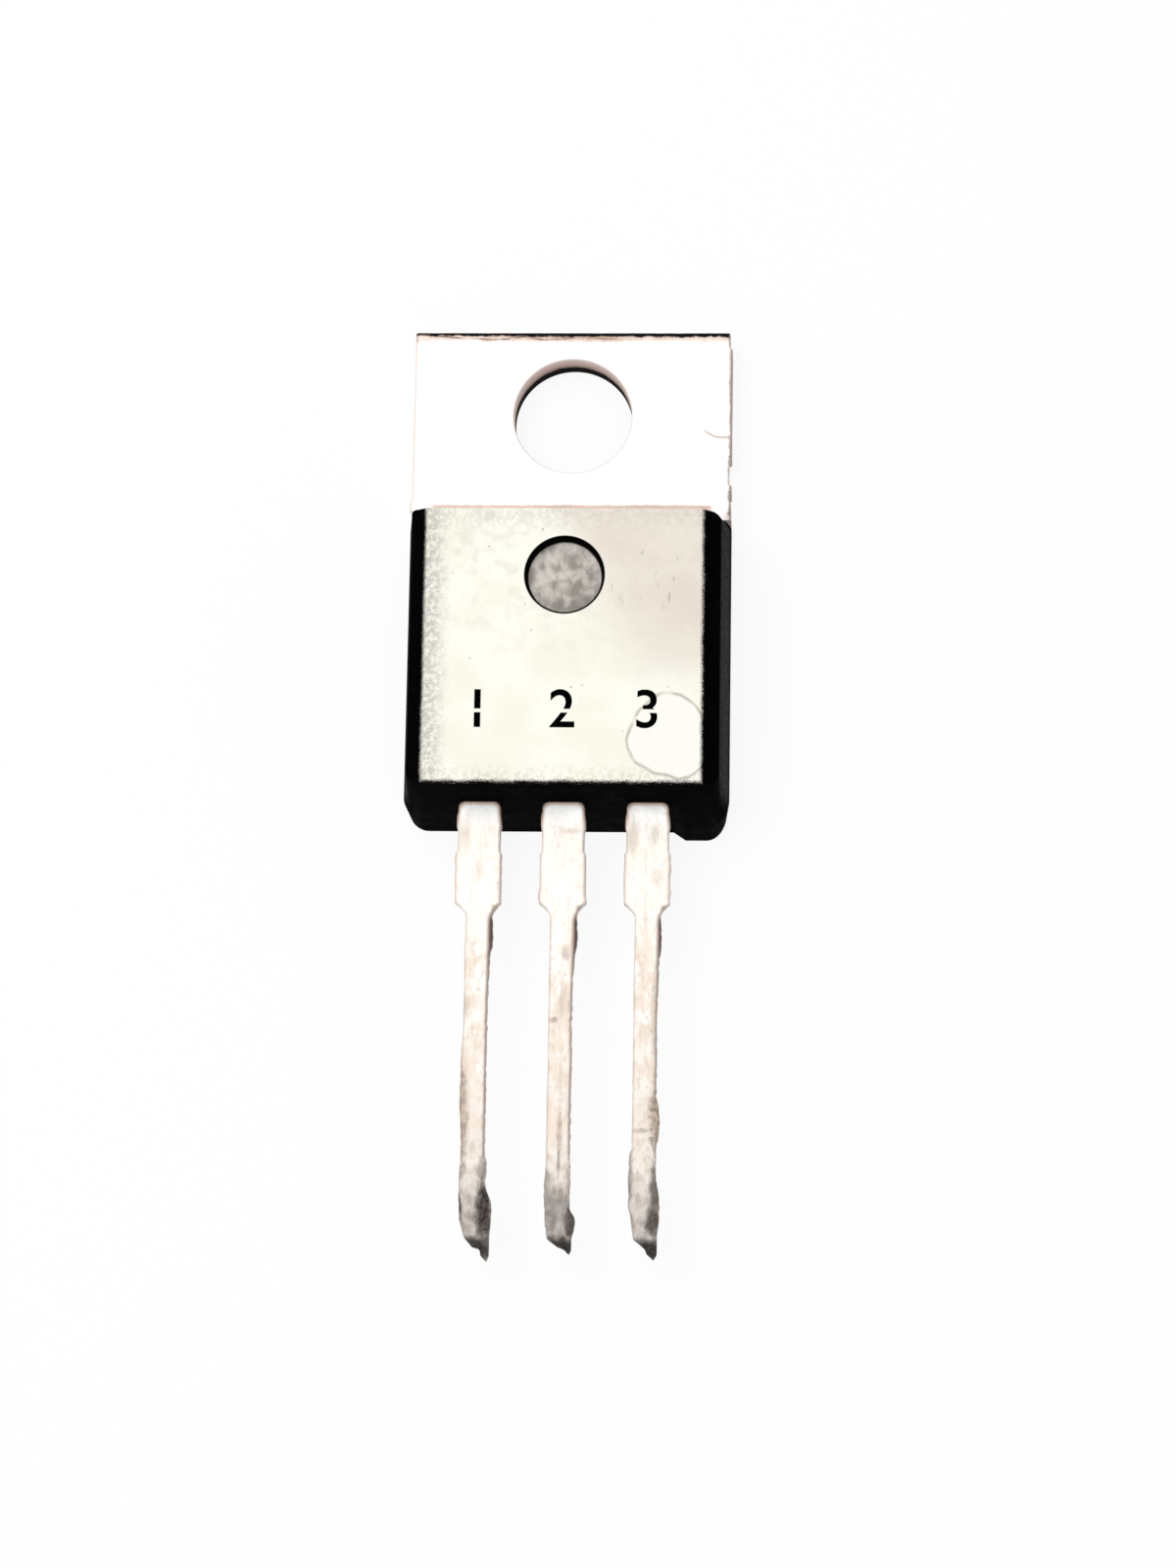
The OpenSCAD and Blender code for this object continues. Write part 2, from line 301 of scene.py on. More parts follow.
    def bump(self, height, depth, strength=1.0):
        node = self.nodes.new("ShaderNodeBump")
        node.inputs["Strength"].default_value = strength
        node.inputs["Distance"].default_value = depth * toMetres
        self.feed(node.inputs["Height"], height)
        self.links.new(node.outputs["Normal"], self.shader.inputs["Normal"])

    def end(self, colour, rough, metal=0.0, gloss=0.5):
        self.feed(self.shader.inputs["Base Color"], colour)
        self.feed(self.shader.inputs["Roughness"], rough)
        self.feed(self.shader.inputs["Metallic"], metal)
        self.shader.inputs["Specular IOR Level"].default_value = gloss
        return self.material


# short ways to build meshes

# a value that runs from one size to another as another value goes from low to high
def between(value, low, high, atLow, atHigh):
    share = min(1, max(0, (value - low) / (high - low)))
    return atLow + (atHigh - atLow) * share


def boxShape(low, high):
    bm = bmesh.new()
    bmesh.ops.create_cube(bm, size=1)
    low, high = Vector(low), Vector(high)
    bmesh.ops.scale(bm, vec=high - low, verts=bm.verts)
    bmesh.ops.translate(bm, vec=(low + high) / 2, verts=bm.verts)
    return bm


# a copy of a CAD node with its loose triangles merged, in millimetres
def nodeCopy(name):
    bm = bmesh.new()
    bm.from_mesh(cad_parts[name].data)
    bmesh.ops.scale(bm, vec=(1 / toMetres,) * 3, verts=bm.verts)
    bmesh.ops.remove_doubles(bm, verts=bm.verts, dist=0.0002)
    return bm


# a turned shape from a profile of [radius, height] points round a vertical axis
def turnedShape(profile, centre, steps=96):
    bm = bmesh.new()
    points = [bm.verts.new((radius, 0, height)) for radius, height in profile]
    edges = [bm.edges.new(pair) for pair in zip(points, points[1:])]
    bmesh.ops.spin(bm, geom=points + edges, cent=(0, 0, 0), axis=(0, 0, 1), angle=math.tau,
                   steps=steps, use_merge=True)
    bmesh.ops.remove_doubles(bm, verts=bm.verts, dist=0.0005)
    bmesh.ops.recalc_face_normals(bm, faces=bm.faces)
    bmesh.ops.translate(bm, vec=(centre[0], centre[1], 0), verts=bm.verts)
    return bm


def asObject(bm, name):
    mesh = bpy.data.meshes.new(name)
    bm.to_mesh(mesh)
    bm.free()
    made = bpy.data.objects.new(name, mesh)
    scene.collection.objects.link(made)
    return made


# the shape with the others cut out of it, or added to it
def combine(bm, others, operation="DIFFERENCE"):
    blank = asObject(bm, "blank")
    helpers = [asObject(other, "cutter") for other in others]
    for helper in helpers:
        cut = blank.modifiers.new("cut", "BOOLEAN")
        cut.operation = operation
        cut.solver = "EXACT"
        cut.object = helper
    graph = bpy.context.evaluated_depsgraph_get()
    result = bmesh.new()
    result.from_mesh(blank.evaluated_get(graph).to_mesh())
    for spare in [blank, *helpers]:
        bpy.data.meshes.remove(spare.data)
    return result


def bevelEdges(bm, chosen, size, steps=3):
    bmesh.ops.bevel(bm, geom=chosen, offset=size, segments=steps, profile=0.5, affect="EDGES",
                    material=-1, clamp_overlap=True)


# cuts a loop of edges right round the shape at each place along an axis
def cutLoops(bm, axis, places):
    normal = Vector((axis == "X", axis == "Y", axis == "Z"))
    for place in places:
        geometry = [*bm.verts, *bm.edges, *bm.faces]
        bmesh.ops.bisect_plane(bm, geom=geometry, dist=0.0001, plane_co=normal * place, plane_no=normal)


# turns a finished shape into a piece of the part
def keepPiece(bm, name, material, replaced=None, sharpAngle=35):
    bmesh.ops.recalc_face_normals(bm, faces=bm.faces)
    bmesh.ops.scale(bm, vec=(toMetres,) * 3, verts=bm.verts)
    openEdges = sum(1 for edge in bm.edges if not edge.is_manifold)
    piece = asObject(bm, name)
    kept = piece.data.attributes.get("custom_normal")      # comes along with shapes cut by CAD meshes
    if kept:
        piece.data.attributes.remove(kept)
    piece.data.set_sharp_from_angle(angle=math.radians(sharpAngle))
    for face in piece.data.polygons:
        face.use_smooth = max(abs(part) for part in face.normal) < 0.9995
    piece.data.materials.clear()
    piece.data.materials.append(material)
    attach(piece, "root")
    if replaced:
        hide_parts(replaced)
    print(name, "has", len(piece.data.polygons), "faces and", openEdges, "open edges")
    return piece


# moulded body

bodyShape = {
    "parting": common["tabThickness"],   # widest level, flush with the tab's upper surface
    "upperWallY": -3.45,
    "bevelWidth": 0.52,
    "bevelDrop": 0.58,
    "sideDraft": 6,                      # slopes in degrees
    "underDraft": 4,
    "upperDraft": 8,
    "lowerDraft": 7,
    "upperCorner": 0.4,
    "lowerCorner": 0.62,
    "edgeRound": 0.07,
    "recessPlace": (0, -5.99),
    "recessWidth": 2.4,
    "recessDepth": 0.45,
    "recessDraft": 6,
    "lipRound": 0.05,
    # share of each corner radius that is left at the foot of the bevels, and then on the face
    "bevelCorners": {"lower": 1, "upperLeft": 0.3, "upperRight": 1},
    "faceCorners": {"lower": 0.2, "upperLeft": 0.5, "upperRight": 0.6},
    # a black ridge along the foot of the lower wall, right of the last lead, standing in for the body's
    # shadow
    "shadowLipReach": 0.25,
    "shadowLipStartX": 3.25,
    "shadowLipFullX": 3.62,
}

pinMarks = {
    "figures": "123",
    "height": 1.16,
    "middleY": -10.2,
    "depth": 0.03,
    "stencilGap": 0.11,
}


# half width, lower end and upper end of the body at a height
def bodyOutline(height, upperY=None):
    shape = bodyShape
    rise = max(0, height - shape["parting"])
    sink = max(0, shape["parting"] - height)
    half = bodyHigh.x - rise * math.tan(math.radians(shape["sideDraft"]))
    half -= sink * math.tan(math.radians(shape["underDraft"]))
    low = bodyLow.y + height * math.tan(math.radians(shape["lowerDraft"]))
    high = shape["upperWallY"] - rise * math.tan(math.radians(shape["upperDraft"]))
    return half, low, high if upperY is None else upperY


faceHalf = bodyOutline(bodyHigh.z - bodyShape["bevelDrop"])[0] - bodyShape["bevelWidth"]
faceLow, faceHigh = bodyOutline(bodyHigh.z)[1:]


# the outline's round corners keep only a share of their radius
def sharpenCorners(verts, outline, share):
    half, low, high = outline
    for vert in verts:
        lower = vert.co.y < (low + high) / 2
        radius = bodyShape["lowerCorner"] if lower else bodyShape["upperCorner"]
        kept = share["lower"] if lower else share["upperLeft"] if vert.co.x < 0 else share["upperRight"]
        side = 1 if vert.co.x > 0 else -1
        fromSide = half - abs(vert.co.x)
        fromEnd = vert.co.y - low if lower else high - vert.co.y
        if fromSide < radius * 1.05 and fromEnd < radius * 1.05:
            vert.co.x = side * (half - fromSide * kept)
            vert.co.y = low + fromEnd * kept if lower else high - fromEnd * kept


# the face shrinks or grows from one outline to another and rises to a new height
def raiseFace(bm, face, old, new, height, share=None):
    grown = bmesh.ops.extrude_face_region(bm, geom=[face])
    verts = [item for item in grown["geom"] if isinstance(item, bmesh.types.BMVert)]
    for vert in verts:
        vert.co.x *= new[0] / old[0]
        vert.co.y = new[1] + (vert.co.y - old[1]) * (new[2] - new[1]) / (old[2] - old[1])
        vert.co.z = height
    if share:
        sharpenCorners(verts, new, share)
    if face.is_valid and height > bodyShape["parting"]:
        bmesh.ops.delete(bm, geom=[face], context="FACES_ONLY")
    return next(item for item in grown["geom"] if isinstance(item, bmesh.types.BMFace))


def figureCutter(figure, atX):
    curve = bpy.data.curves.new("figure", "FONT")
    curve.body = figure
    curve.size = pinMarks["height"] * 1.43
    curve.align_x = "CENTER"
    curve.align_y = "CENTER"
    curve.extrude = 0.5
    curve.offset = 0.016
    curve.resolution_u = 6
    figureObject = bpy.data.objects.new("figure", curve)
    scene.collection.objects.link(figureObject)
    graph = bpy.context.evaluated_depsgraph_get()
    bm = bmesh.new()
    bm.from_mesh(figureObject.evaluated_get(graph).to_mesh())
    bpy.data.objects.remove(figureObject)
    bmesh.ops.remove_doubles(bm, verts=bm.verts, dist=0.0005)
    lift = bodyHigh.z - pinMarks["depth"] + 0.5
    bmesh.ops.translate(bm, vec=(atX, pinMarks["middleY"], lift), verts=bm.verts)
    middle, gap = pinMarks["middleY"], pinMarks["stencilGap"] / 2
    bar = boxShape((atX - 1, middle - gap, lift - 1), (atX + 1, middle + gap, lift + 1))
    return combine(bm, [bar])


def recessCutter():
    shape = bodyShape
    radius = shape["recessWidth"] / 2
    floor = bodyHigh.z - shape["recessDepth"]
    wall = math.tan(math.radians(shape["recessDraft"]))
    lip = shape["lipRound"]
    mouth = radius - lip
    profile = [
        (0, floor), (mouth - shape["recessDepth"] * wall - lip, floor),
        (mouth - shape["recessDepth"] * wall, floor + lip),
        (mouth, bodyHigh.z - lip), (mouth + lip * 0.15, bodyHigh.z - lip * 0.5),
        (mouth + lip * 0.5, bodyHigh.z - lip * 0.15), (radius, bodyHigh.z),
        (radius, bodyHigh.z + 1), (0, bodyHigh.z + 1),
    ]
    return turnedShape(profile, shape["recessPlace"])


def buildBody():
    shape = bodyShape
    bm = bmesh.new()
    bmesh.ops.create_grid(bm, x_segments=1, y_segments=1, size=1)
    half, low, high = old = bodyOutline(0, common["shoulderY"])
    for vert in bm.verts:
        vert.co = (half if vert.co.x > 0 else -half, high if vert.co.y > 0 else low, 0)
    middle = (low + high) / 2
    upper = [vert for vert in bm.verts if vert.co.y > middle]
    lower = [vert for vert in bm.verts if vert.co.y < middle]
    for corners, size in ((upper, shape["upperCorner"]), (lower, shape["lowerCorner"])):
        bmesh.ops.bevel(bm, geom=corners, offset=size, segments=10, profile=0.5, affect="VERTICES",
                        material=-1)
    face = bm.faces[:][0]
    parting = shape["parting"]
    bevelFoot = bodyHigh.z - shape["bevelDrop"]
    levels = [
        (parting, bodyOutline(parting, common["shoulderY"]), None),
        (parting + 0.001, bodyOutline(parting), None),
        (bevelFoot, bodyOutline(bevelFoot), shape["bevelCorners"]),
        (bodyHigh.z, (faceHalf, faceLow, faceHigh), shape["faceCorners"]),
    ]
    for height, new, corners in levels:
        face = raiseFace(bm, face, old, new, height, corners)
        old = new
    openEdges = [edge for edge in bm.edges if edge.is_boundary]
    if openEdges:
        bmesh.ops.holes_fill(bm, edges=openEdges, sides=0)
    # the black ridge that stands in for the body's shadow
    start, full = shape["shadowLipStartX"], shape["shadowLipFullX"]
    cutLoops(bm, "X", [between(share, 0, 6, start, full) for share in range(7)])
    for vert in bm.verts:
        fromLow = vert.co.y - bodyOutline(vert.co.z)[1]
        if vert.co.z < parting + 0.01 and fromLow < shape["lowerCorner"]:
            reach = between(vert.co.x, start, full, 0, shape["shadowLipReach"])
            vert.co.y -= reach * (1 - max(0, fromLow) / shape["lowerCorner"])
    bmesh.ops.recalc_face_normals(bm, faces=bm.faces)
    outer = [edge for edge in bm.edges if edge.is_manifold and edge.calc_face_angle() > math.radians(16)
             and min(vert.co.z for vert in edge.verts) > parting + 0.1]
    bevelEdges(bm, outer, shape["edgeRound"])
    inner = ["tab_and_middle_lead", "base_lead", "emitter_lead", "chip_solder", "chip", "base_wire",
             "emitter_wire"]
    bm = combine(bm, [nodeCopy(name) for name in inner])
    cutters = [recessCutter()]
    for number, figure in enumerate(pinMarks["figures"]):
        cutters.append(figureCutter(figure, (number - 1) * common["leadPitch"]))
    bm = combine(bm, cutters)
    return bm


# black moulding compound; its front face carries a painted reflection, pale and uneven, with smudges and
# specks in it
def bodyFinish():
    look = Finish("mouldedPlastic")
    broad = look.cloud(1.7, detail=4, shift=3.1)
    middle = look.cloud(0.42, detail=4, shift=7.7)
    small = look.cloud(0.13, detail=3, shift=4.4)
    fine = look.cloud(0.045, detail=2, shift=1.9)
    top = bodyHigh.z

    # the painted reflection reaches the upper edge and stops raggedly short of the other three
    ragged = look.math("ADD", look.math("MULTIPLY", look.math("SUBTRACT", middle, 0.5), 0.1),
                       look.math("MULTIPLY", look.math("SUBTRACT", fine, 0.5), 0.16))
    reflectionInside = look.inside(-faceHalf - 0.09, faceHalf + 0.04, faceLow, faceHigh + 0.4)
    fromEdge = look.math("ADD", reflectionInside, ragged)
    fromRecess = look.around(*bodyShape["recessPlace"], 1, 1)
    recessHalf = bodyShape["recessWidth"] / 2
    # pale: where the face shows its painted reflection, clear of the recess
    pale = look.both(look.step(look.z, top - 0.2, top - 0.15), look.step(fromEdge, -0.01, 0.13),
                     look.step(fromRecess, recessHalf + 0.005, recessHalf + 0.035))
    engraved = look.both(look.step(look.z, top - 0.006, top - 0.014),
                         look.step(look.inside(-faceHalf, faceHalf, faceLow, faceHigh), 0.3, 0.35))
    pale = look.math("MULTIPLY", pale, look.math("SUBTRACT", 1.0, engraved))

    colour = look.mix(look.step(broad, 0.35, 0.65), paint(247, 246, 231), paint(253, 252, 241))
    clouded = look.both(look.step(middle, 0.46, 0.7), look.step(look.y, -11.0, -4.6))
    colour = look.mix(look.math("MULTIPLY", clouded, 0.55), colour, paint(228, 224, 212))

    # warmer, greyer painted reflection over the upper right half
    slant = look.math("ADD", look.x, look.math("MULTIPLY", look.y, 0.45))
    warm = look.both(look.step(slant, -3.0, -0.6), look.step(look.y, -9.9, -7.6))
    warm = look.math("MULTIPLY", warm, look.blend(look.step(broad, 0.3, 0.65), 0.65, 1.0))
    colour = look.mix(warm, colour, paint(230, 219, 208))

    # greyer, speckled strips beside the left and upper edges
    speckle = look.step(look.blend(0.4, small, fine), 0.34, 0.62)
    leftStrip = look.both(look.step(look.x, -3.3, -4.05), speckle)
    colour = look.mix(look.math("MULTIPLY", leftStrip, 0.9), colour, paint(190, 187, 179))
    topStrip = look.both(look.step(look.y, -4.9, -4.0), look.step(small, 0.34, 0.68))
    colour = look.mix(look.math("MULTIPLY", topStrip, 0.6), colour, paint(212, 206, 196))
    lowStrip = look.both(look.step(look.y, -11.7, -12.3), look.step(small, 0.4, 0.7))
    colour = look.mix(look.math("MULTIPLY", lowStrip, 0.6), colour, paint(214, 206, 190))

    # dried patch low on the right, with a thin outline
    warp = look.math("MULTIPLY", look.math("SUBTRACT", look.cloud(1.5, detail=3, shift=8.6), 0.5), 0.6)
    patch = look.around(3.3, -11.05, 1.3, 1.25, warp)
    colour = look.mix(look.step(patch, 1.0, 0.94), colour, paint(252, 251, 243))
    outline = look.both(look.step(patch, 0.92, 0.97), look.step(patch, 1.05, 0.99),
                        look.step(middle, 0.22, 0.5))
    colour = look.mix(look.math("MULTIPLY", outline, 0.95), colour, paint(200, 194, 184))

    # faint rub marks to the right of the recess, and scattered specks
    rubbed = look.cloud(0.2, detail=3, stretch=(1, 2.6, 1), shift=6.6, swirl=0.8)
    rub = look.both(look.step(rubbed, 0.6, 0.72), look.step(look.around(2.6, -6.1, 1.5, 1.3), 1.0, 0.6))
    colour = look.mix(look.math("MULTIPLY", rub, 0.6), colour, paint(172, 164, 158))
    specks = look.math("MAXIMUM", look.both(look.spots(0.62, 0.075, 2.2), look.step(broad, 0.46, 0.56)),
                       look.spots(1.45, 0.045, 6.3))
    colour = look.mix(look.math("MULTIPLY", specks, 0.65), colour, paint(120, 114, 106))
    grain = look.step(fine, 0.52, 0.8)
    colour = look.mix(look.math("MULTIPLY", grain, 0.22), colour, paint(205, 200, 190))

    # the plastic itself, with a mottled grey painted sheen on the sloping side walls
    black = look.mix(look.step(middle, 0.4, 0.7), paint(1, 1, 1), paint(5, 5, 5))
    beside = look.both(look.step(look.math("ABSOLUTE", look.x), faceHalf + 0.5, faceHalf + 0.55),
                       look.step(look.z, 1.5, 2.0), look.step(look.y, -12.6, -12.2))
    # painted sheen on the side walls, mottled
    wallMottle = look.cloud(0.06, detail=3, stretch=(1, 1.8, 1), shift=9.4)
    wallSheen = look.both(beside, look.blend(look.step(wallMottle, 0.38, 0.62), 0.15, 1.0),
                        look.blend(look.step(middle, 0.35, 0.6), 0.5, 1.0))
    black = look.mix(wallSheen, black, paint(66, 65, 63))

    # painted reflection in the recess: dimmer and streaky, darker towards the lower right
    inRecess = look.both(look.step(fromRecess, recessHalf - 0.08, recessHalf - 0.12),
                         look.step(look.z, 4.2, 4.1))
    recessGlare = look.cloud(0.36, detail=5, stretch=(1, 1.2, 1), shift=11.0, swirl=0.3)
    recessX, recessY = bodyShape["recessPlace"]
    tilt = look.math("SUBTRACT", look.math("SUBTRACT", look.x, look.y), recessX - recessY)
    recessGlare = look.math("ADD", recessGlare, look.math("MULTIPLY", tilt, -0.05))
    grey = look.mix(look.step(recessGlare, 0.3, 0.7), paint(154, 146, 139), paint(222, 216, 208))
    colour = look.mix(pale, black, colour)
    colour = look.mix(inRecess, colour, grey)

    look.bump(look.math("ADD", small, look.math("MULTIPLY", fine, 0.5)), 0.01)
    rough = look.blend(look.step(middle, 0.3, 0.7), 0.62, 0.8)
    return look.end(colour, rough, gloss=0.006)


keepPiece(buildBody(), "mouldedBody", bodyFinish(), "moulded_body")
print("body done")


# metal tab

tabShape = {
    "width": 9.9,
    "holeWidth": 3.67,
    "holeLip": 0.05,
    "edgeRound": 0.06,
    "stubOut": 0.06,
    "stubLow": -3.1,
    "stubHigh": -2.72,
    "gripWidth": 0.25,
    "gripHeight": 0.55,
    "notchRadius": 0.45,
    "notchY": -5.05,
    "shearWander": 0.012,
    # stretches of the right edge that are worn back: low end, high end, depth
    "nicks": [(-3.2, -2.42, 0.08), (-2.22, -1.27, 0.08), (2.2, 3, 0.07)],
}


def buildTab():
    shape = tabShape
    half = shape["width"] / 2
    headerHalf = common["headerWidth"] / 2
    thick = common["tabThickness"]
    bm = bmesh.new()
    bmesh.ops.create_grid(bm, x_segments=3, y_segments=2, size=3)
    columns = {-3: -half, -1: -headerHalf, 1: headerHalf, 3: half}
    rows = {-3: common["headerEndY"], 0: common["shoulderY"], 3: tabHigh.y}
    for vert in bm.verts:
        vert.co = (columns[round(vert.co.x)], rows[round(vert.co.y)], 0)
    beside = [face for face in bm.faces if abs(face.calc_center_median().x) > headerHalf
              and face.calc_center_median().y < common["shoulderY"]]
    bmesh.ops.delete(bm, geom=beside, context="FACES")
    bmesh.ops.dissolve_limit(bm, angle_limit=0.01, verts=bm.verts, edges=bm.edges)
    bmesh.ops.solidify(bm, geom=bm.faces[:], thickness=thick)
    lift = thick - max(vert.co.z for vert in bm.verts)
    bmesh.ops.translate(bm, vec=(0, 0, lift), verts=bm.verts)
    bmesh.ops.recalc_face_normals(bm, faces=bm.faces)
    rim = [edge for edge in bm.edges if edge.is_manifold and edge.calc_face_angle() > 1
           and min(v.co.y for v in edge.verts) > common["shoulderY"] - 0.01
           and max(v.co.y for v in edge.verts) > common["shoulderY"] + 0.5]
    bevelEdges(bm, rim, shape["edgeRound"])
    stubLow, stubHigh = shape["stubLow"], shape["stubHigh"]
    cutLoops(bm, "Y", [stubLow, stubLow + 0.03, stubHigh - 0.03, stubHigh])
    cutLoops(bm, "Y", [place * 0.21 - 2.6 for place in range(24)])
    for low, high, depth in shape["nicks"]:
        cutLoops(bm, "Y", [low - 0.02, low + 0.02, high - 0.02, high + 0.02])
    cutLoops(bm, "X", [place * 0.27 - 4.6 for place in range(35)])
    for vert in bm.verts:
        side = 1 if vert.co.x > 0 else -1
        if abs(vert.co.x) > half - shape["edgeRound"] * 1.5 and vert.co.y > common["shoulderY"] + 0.05:
            wander = abs(noise.noise(Vector((side * 9, vert.co.y * 1.7, 0))))
            vert.co.x -= side * shape["shearWander"] * wander
            if stubLow + 0.02 < vert.co.y < stubHigh - 0.02:
                vert.co.x += side * shape["stubOut"]
            if side > 0:
                vert.co.x -= sum(depth for low, high, depth in shape["nicks"] if low < vert.co.y < high)
        if vert.co.y > tabHigh.y - shape["edgeRound"] * 1.5:
            vert.co.y -= shape["shearWander"] * abs(noise.noise(Vector((vert.co.x * 1.7, 4, 0))))
    radius, lip = shape["holeWidth"] / 2, shape["holeLip"]
    hole = turnedShape([
        (0, -1), (radius + lip * 0.5, -1), (radius + lip * 0.5, 0), (radius, lip * 0.5),
        (radius, thick - lip), (radius + lip * 0.3, thick - lip * 0.3), (radius + lip, thick),
        (radius + lip, thick + 1), (0, thick + 1)], (0, 0), steps=128)
    cutters = [hole]
    for side in (-1, 1):
        grip = headerHalf - shape["gripWidth"]
        ends = sorted((side * grip, side * (headerHalf + 1)))
        cutters.append(boxShape((ends[0], common["headerEndY"] - 1, -1),
                                (ends[1], common["shoulderY"], shape["gripHeight"])))
        notch = [(0, -1), (shape["notchRadius"], -1), (shape["notchRadius"], 3), (0, 3)]
        cutters.append(turnedShape(notch, (side * headerHalf, shape["notchY"]), steps=48))
    return combine(bm, cutters)


# satin plating, nearly white, with warm worn edges, and painted shade along the free edge, the right
# edge and low on the hole wall
def platingFinish():
    look = Finish("tabPlating")
    half = tabShape["width"] / 2
    radius = tabShape["holeWidth"] / 2
    cloudy = look.cloud(1.3, detail=4, shift=2.4)
    rolled = look.cloud(0.1, detail=3, stretch=(1, 14, 1), shift=6.0)
    small = look.cloud(0.22, detail=4, shift=8.0)
    ragged = look.math("MULTIPLY", look.math("SUBTRACT", small, 0.5), 0.16)

    colour = look.mix(look.step(cloudy, 0.3, 0.7), paint(251, 249, 246), paint(255, 254, 253))
    rollMarks = look.math("MULTIPLY", look.step(rolled, 0.55, 0.8), 0.2)
    colour = look.mix(rollMarks, colour, paint(238, 233, 228))
    corner = look.both(look.step(look.x, 2.0, 4.4), look.step(look.y, 0.2, 2.2),
                       look.step(small, 0.35, 0.7))
    colour = look.mix(look.math("MULTIPLY", corner, 0.5), colour, paint(238, 228, 220))
    fromEdge = look.math("ADD", look.inside(-half, half, -20, tabHigh.y), ragged)
    worn = look.math("MULTIPLY", look.step(fromEdge, 0.2, 0.02), 0.8)
    colour = look.mix(worn, colour, paint(236, 221, 212))

    # painted shade: a pinkish band under the free edge and a dark line along the edge itself; dark
    # streaks near the edge on the left
    fromTop = look.math("ADD", look.math("SUBTRACT", tabHigh.y, look.y), ragged)
    patchy = look.step(cloudy, 0.4, 0.6)
    band = look.both(look.step(fromTop, 0.44, 0.16), look.blend(patchy, 0.7, 1.0))
    colour = look.mix(band, colour, paint(188, 160, 144))
    sheared = look.cloud(0.08, detail=3, stretch=(9, 1, 1), shift=5.2)
    streaks = look.both(look.step(fromTop, 0.3, 0.2), look.step(sheared, 0.5, 0.62),
                        look.step(look.x, 2.5, 0.0))
    colour = look.mix(look.math("MULTIPLY", streaks, 0.75), colour, paint(96, 78, 72))
    thin = look.math("ADD", fromTop, look.math("MULTIPLY", look.x, -0.004))
    upperEdge = look.step(look.math("ADD", look.z, look.math("MULTIPLY", ragged, 2.5)), 0.85, 1.08)
    edgeShade = look.both(look.step(thin, 0.16, 0.09), upperEdge)
    colour = look.mix(edgeShade, colour, paint(12, 10, 9))
    # painted shade along the right edge
    rightEdge = look.step(look.math("ADD", look.math("SUBTRACT", half, look.x), ragged), 0.14, 0.04)
    colour = look.mix(look.math("MULTIPLY", rightEdge, 0.8), colour, paint(150, 132, 126))

    # shade where the body stands on the tab
    onTop = look.step(look.z, 1.1, 1.22)
    footLine = look.math("ADD", look.y, look.math("MULTIPLY", ragged, 0.4))
    foot = look.both(look.step(footLine, -2.83, -2.92),
                     look.step(look.math("ABSOLUTE", look.x), 4.5, 4.2), onTop)
    colour = look.mix(foot, colour, paint(200, 176, 162))
    nearBody = look.both(look.step(look.y, -3.0, -3.2), look.step(look.x, 4.4, 4.9))
    colour = look.mix(look.math("MULTIPLY", nearBody, 0.6), colour, paint(176, 158, 150))

    # rubbed and lightly scratched back, from lying on a heat sink
    onBack = look.step(look.z, 0.06, 0.01)
    rubbed = look.cloud(0.09, detail=3, stretch=(12, 1, 1), shift=14.0)
    backMarks = look.both(onBack, look.blend(0.5, look.step(rubbed, 0.5, 0.7), patchy))
    colour = look.mix(look.math("MULTIPLY", backMarks, 0.7), colour, paint(206, 199, 193))

    # long curved scratch near the right edge
    inwards = look.math("MAXIMUM", look.math("SUBTRACT", 4.6, look.x), 0.0)
    bend = look.math("MULTIPLY", look.math("POWER", inwards, 2), 0.9)
    fromLine = look.math("ABSOLUTE", look.math("SUBTRACT", look.math("SUBTRACT", look.y, -0.68), bend))
    scratch = look.both(look.step(fromLine, 0.08, 0.02), look.step(look.x, 3.95, 4.15), onTop)
    colour = look.mix(look.math("MULTIPLY", scratch, 0.8), colour, paint(180, 162, 152))

    # painted shade: the punched hole's wall darkens downwards, to black at its foot
    fromHole = look.around(0, 0, 1, 1)
    holeRim = look.math("MULTIPLY", look.step(fromHole, radius + 0.09, radius + 0.02), 0.6)
    colour = look.mix(holeRim, colour, paint(238, 220, 212))
    wall = look.step(fromHole, radius + 0.02, radius + 0.005)
    depth = look.math("ADD", look.z, look.math("MULTIPLY", ragged, 1.2))
    colour = look.mix(look.both(wall, look.step(depth, 1.25, 0.95)), colour, paint(222, 196, 186))
    colour = look.mix(look.both(wall, look.step(depth, 0.95, 0.5)), colour, paint(150, 126, 118))
    holeShade = look.both(wall, look.step(depth, 0.58, 0.48))
    colour = look.mix(holeShade, colour, paint(5, 4, 4))

    look.bump(look.math("ADD", look.math("MULTIPLY", rolled, 0.6), small), 0.006)
    # the painted shade is also rougher and not metallic
    shadeMask = look.math("MAXIMUM", edgeShade, holeShade)
    rough = look.blend(shadeMask, look.blend(look.step(cloudy, 0.3, 0.7), 0.38, 0.52), 0.98)
    return look.end(colour, rough, metal=look.blend(shadeMask, 0.3, 0.0), gloss=0.12)


plating = platingFinish()
keepPiece(buildTab(), "tabPlate", plating, "tab_and_middle_lead")
print("tab done")


# leads

leadShape = {
    "rootWidth": 1.27,
    "damWidth": 1.38,
    "slimWidth": 0.7,
    "rootEndY": -14.13,
    "damEndY": -15.69,
    "slopeEndY": -16.1,
    "slopeCurve": 1.7,
    "tipClip": 0.16,
    "tipTaper": 0.9,
    "padWidth": 2.3,
    "padShift": 0.25,
    "neckY": -11.863,
    "padEndY": -10.363,
    "riseEndY": -11.85,
    "riseStartY": -11.0,
    "riseInnerY": -10.4,
    "riseAngle": 60,
    "edgeRound": 0.06,
    "wander": 0.02,
    "nibbled": 0.03,
    "relief": 0.014,
}
